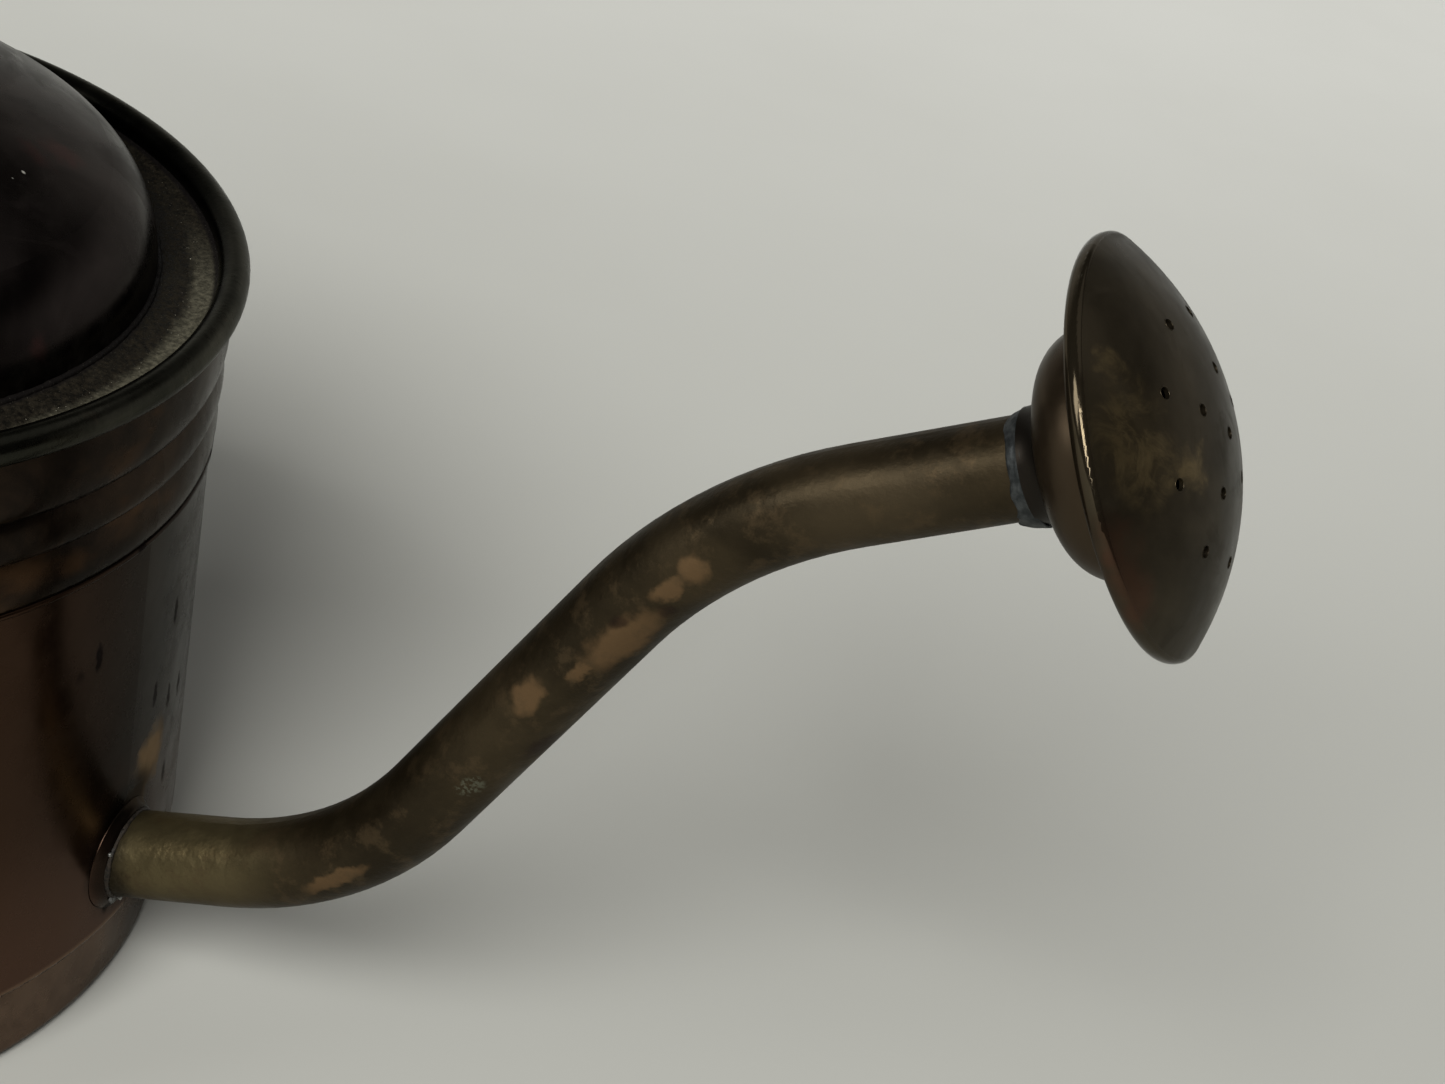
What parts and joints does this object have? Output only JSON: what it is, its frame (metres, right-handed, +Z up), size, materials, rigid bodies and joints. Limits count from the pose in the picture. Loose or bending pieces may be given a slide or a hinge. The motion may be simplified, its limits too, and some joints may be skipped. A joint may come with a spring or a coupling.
{
  "type": "watering can",
  "caption": "Round indoor watering can with a hooded filling opening, a bent tube spout with a perforated rose, and a fixed loop handle.",
  "frame": {"origin": "centre of the base on the surface that the can stands on", "axes": "+Z up along the can's axis, +X towards the spout and rose, +Y to the can's left"},
  "size_m": [0.3943, 0.18, 0.2388],
  "materials": {
    "copper_sheet": "aged satin copper",
    "copper_wall": "polished copper with a brown patina",
    "copper_collar": "polished copper with a dark patina",
    "dark_rim": "satin, nearly black patina",
    "iron_wire": "plain wire",
    "dusty_deck": "dark patina under dust",
    "dark_hood": "dark glossy patina",
    "solder": "dull grey solder",
    "brass_tube": "aged satin brass",
    "dark_brass": "dark bronze-brown patina"
  },
  "bodies": {
    "root": {"base_disc": "copper_sheet", "foot_band": "copper_sheet", "body_wall": "copper_wall", "ribbed_collar": "copper_collar", "rim_roll": "dark_rim", "rim_wire": "iron_wire", "deck_ring": "dusty_deck", "filler_lip_roll": "dark_rim", "hood": "dark_hood", "hood_edge_roll": "dark_rim", "hood_edge_wire": "iron_wire", "hood_foot_solder": "solder", "spout_tube": "brass_tube", "spout_root_ring": "copper_sheet", "spout_root_solder": "solder", "rose_solder": "solder", "rose_neck": "dark_brass", "rose_cup": "dark_brass", "rose_back_flange": "dark_brass", "rose_face": "dark_brass", "handle_tube": "brass_tube", "handle_front_flange": "dark_brass", "handle_front_solder": "solder", "handle_rear_palm": "dark_brass", "handle_rear_solder": "solder", "handle_rear_rivet_upper": "dark_brass", "handle_rear_rivet_lower": "dark_brass"}
  },
  "joints": []
}
